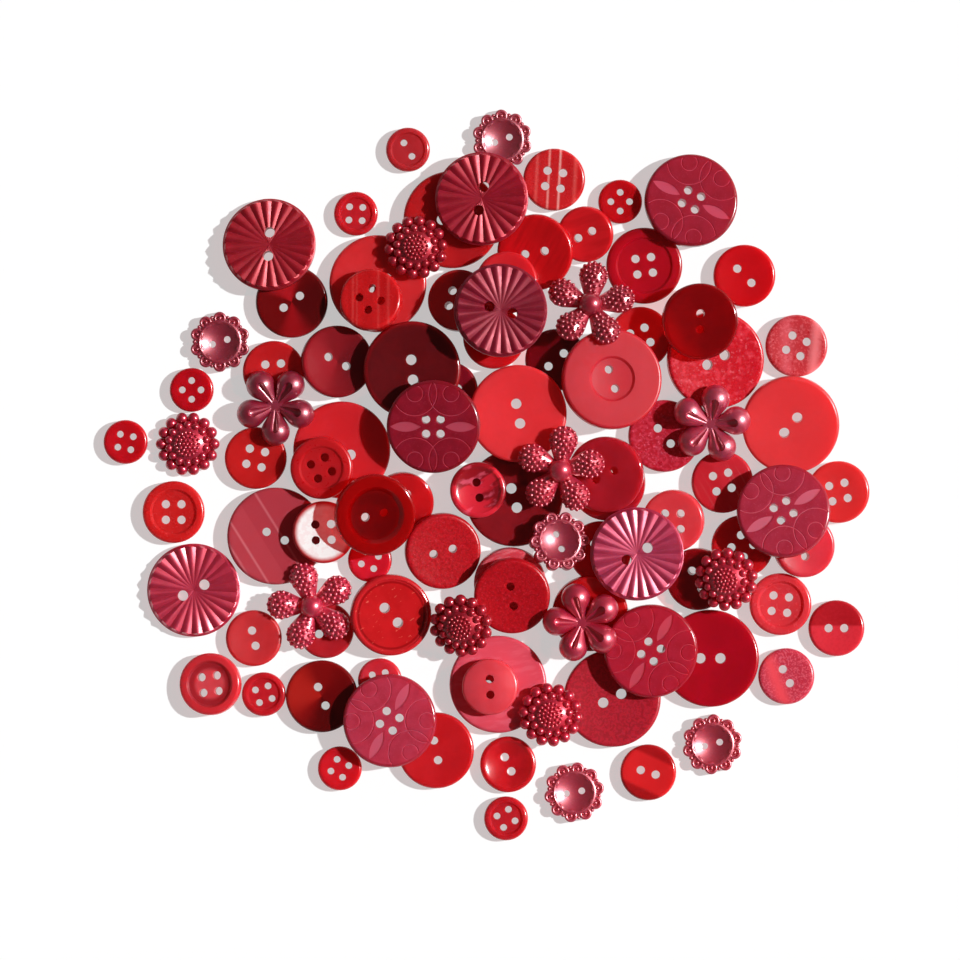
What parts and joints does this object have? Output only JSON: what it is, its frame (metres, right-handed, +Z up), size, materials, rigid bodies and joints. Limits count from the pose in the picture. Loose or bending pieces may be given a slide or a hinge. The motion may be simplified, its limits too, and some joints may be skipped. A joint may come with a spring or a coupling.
{
  "type": "assortment of sewing buttons",
  "caption": "Shallow scattered heap of assorted red sewing buttons: plain, rimmed and dished discs with sewing holes, fan-carved, engraved, flower, berry and lace forms.",
  "frame": {"origin": "middle of the heap's plan, on the floor it lies on", "axes": "+Z up from the floor; +X to the right and +Y away, as the picture shows the heap from above"},
  "size_m": [0.1912, 0.1826, 0.0139],
  "materials": {
    "bright_red": "gloss",
    "deep_red": "gloss",
    "crimson_pearl": "pearly gloss",
    "dark_crimson": "gloss",
    "coral_red": "gloss",
    "maroon_pearl": "pearly satin",
    "garnet_clear": "transparent gloss",
    "red_pearl": "pearly gloss",
    "white_pearl": "pearly gloss"
  },
  "bodies": {
    "root": {"small_two_hole_button": "bright_red", "small_four_hole_buttons": "bright_red", "small_rimmed_buttons": "bright_red", "two_hole_buttons_14": "bright_red", "marble_button": "deep_red", "coral_dome_button": "coral_red", "pearl_button_14": "red_pearl", "glossy_dish_button": "bright_red", "striped_buttons": "bright_red", "two_hole_buttons_16": "bright_red", "pearl_four_hole_button": "red_pearl", "four_hole_buttons_16": "bright_red", "coral_four_hole_button": "coral_red", "raised_rim_button": "bright_red", "white_face_button": "white_pearl", "rimmed_buttons_16": "bright_red", "translucent_buttons_16": "garnet_clear", "two_hole_buttons_19": "deep_red", "dark_red_buttons_19": "garnet_clear", "ring_button_19": "crimson_pearl", "garnet_button": "garnet_clear", "pearl_buttons_18": "red_pearl", "clear_buttons_19": "deep_red", "speckled_buttons": "deep_red", "edge_ring_button": "bright_red", "clear_cup_button": "garnet_clear", "large_red_buttons": "bright_red", "large_clear_button": "coral_red", "large_dark_buttons": "dark_crimson", "large_bright_buttons": "bright_red", "stepped_coral_button": "coral_red", "large_pearl_buttons": "red_pearl", "large_coral_button": "coral_red", "fan_button_1": "maroon_pearl", "fan_button_2": "maroon_pearl", "fan_button_3": "maroon_pearl", "fan_button_4": "maroon_pearl", "fan_button_5": "maroon_pearl", "engraved_button_1": "maroon_pearl", "engraved_button_2": "maroon_pearl", "engraved_button_3": "maroon_pearl", "engraved_button_4": "maroon_pearl", "engraved_button_5": "maroon_pearl", "beaded_flower_1": "crimson_pearl", "beaded_flower_2": "crimson_pearl", "beaded_flower_3": "crimson_pearl", "petal_flower_1": "maroon_pearl", "petal_flower_2": "maroon_pearl", "petal_flower_3": "maroon_pearl", "berry_button_1": "crimson_pearl", "berry_button_2": "crimson_pearl", "berry_button_3": "crimson_pearl", "berry_button_4": "crimson_pearl", "berry_button_5": "crimson_pearl", "lace_button_1": "crimson_pearl", "lace_button_2": "crimson_pearl", "lace_button_3": "crimson_pearl", "lace_button_4": "crimson_pearl", "lace_button_5": "crimson_pearl"}
  },
  "joints": []
}
